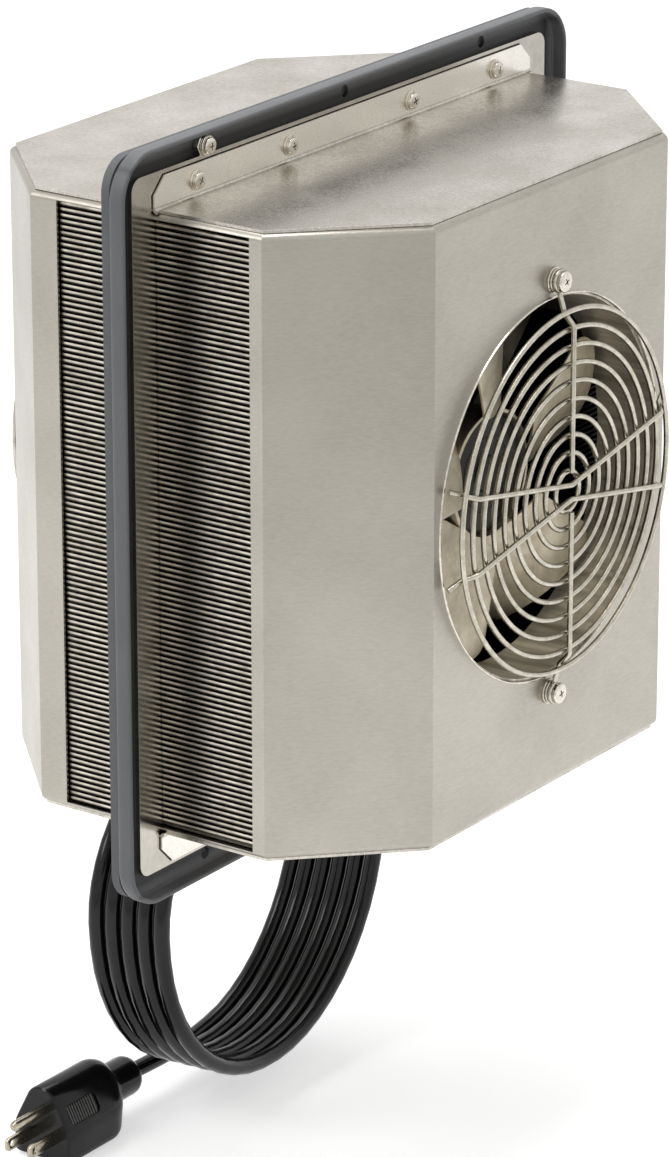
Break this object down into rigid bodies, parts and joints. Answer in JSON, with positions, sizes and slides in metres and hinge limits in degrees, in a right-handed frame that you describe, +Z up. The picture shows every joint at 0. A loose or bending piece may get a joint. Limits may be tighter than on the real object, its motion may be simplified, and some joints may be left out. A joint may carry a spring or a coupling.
{
  "type": "enclosure heat exchanger",
  "caption": "Air-to-air cabinet heat exchanger: two stainless fan housings back to back on a square mounting flange, folded fin core, wire guards, coiled power cord with plug",
  "frame": {"origin": "middle of the flange's rectangle of side bolt holes, on the flange face that lies towards the cabinet wall", "axes": "+Z up, +Y into the cabinet, X across; the front housing faces -Y"},
  "size_m": [0.333, 0.2442, 0.4884],
  "materials": {
    "housing_steel": "fine brushed stainless, warm grey",
    "panel_steel": "smooth stainless sheet",
    "plate_steel": "smooth stainless sheet",
    "inner_steel": "plain sheet steel",
    "flange_paint": "satin grey coat",
    "guard_wire": "bright drawn wire",
    "screw_steel": "polished stainless",
    "fan_steel": "bright sheet metal",
    "core_foil": "bright folded foil",
    "motor_black": "black coat",
    "motor_core": "dark laminated steel",
    "gasket_foam": "matt closed-cell foam",
    "cord_black": "smooth glossy jacket",
    "plug_black": "moulded, glossy",
    "block_plastic": "moulded, matt",
    "nickel": "nickel plate"
  },
  "bodies": {
    "unit": {"front_shroud": "housing_steel", "rear_shroud": "housing_steel", "front_top_panel": "panel_steel", "front_bottom_panel": "panel_steel", "rear_top_panel": "panel_steel", "rear_bottom_panel": "panel_steel", "front_plate": "plate_steel", "rear_plate": "plate_steel", "core_collar": "inner_steel", "flange_frame": "flange_paint", "gasket": "gasket_foam", "fin_core": "core_foil", "core_end_plates": "core_foil", "core_seal_left": "core_foil", "core_seal_right": "core_foil", "front_tab_screws": "screw_steel", "rear_tab_screws": "screw_steel", "front_guard_rings": "guard_wire", "front_guard_bars": "guard_wire", "rear_guard_rings": "guard_wire", "rear_guard_bars": "guard_wire", "front_guard_screws": "screw_steel", "rear_guard_screws": "screw_steel", "front_fan_collar": "fan_steel", "rear_fan_collar": "fan_steel", "front_motor_bracket": "inner_steel", "rear_motor_bracket": "inner_steel", "front_stator": "motor_core", "rear_stator": "motor_core", "ground_screw": "nickel", "terminal_block": "block_plastic", "strain_relief": "plug_black", "cord_lead": "cord_black", "cord_coil": "cord_black", "cord_tail": "cord_black", "cord_tie": "block_plastic", "plug_body": "plug_black", "plug_blades": "nickel", "plug_ground_pin": "nickel"},
    "front_fan": {"front_rotor_cup": "motor_black", "front_fan_blades": "fan_steel"},
    "rear_fan": {"rear_rotor_cup": "motor_black", "rear_fan_blades": "fan_steel"}
  },
  "joints": [
    {"name": "front_fan_spin", "type": "hinge", "parent": "unit", "child": "front_fan", "pos_m": [0, -0.0723, 0], "axis": [0, 1, 0], "continuous": true},
    {"name": "rear_fan_spin", "type": "hinge", "parent": "unit", "child": "rear_fan", "pos_m": [0, 0.0729, 0], "axis": [0, 1, 0], "continuous": true}
  ]
}
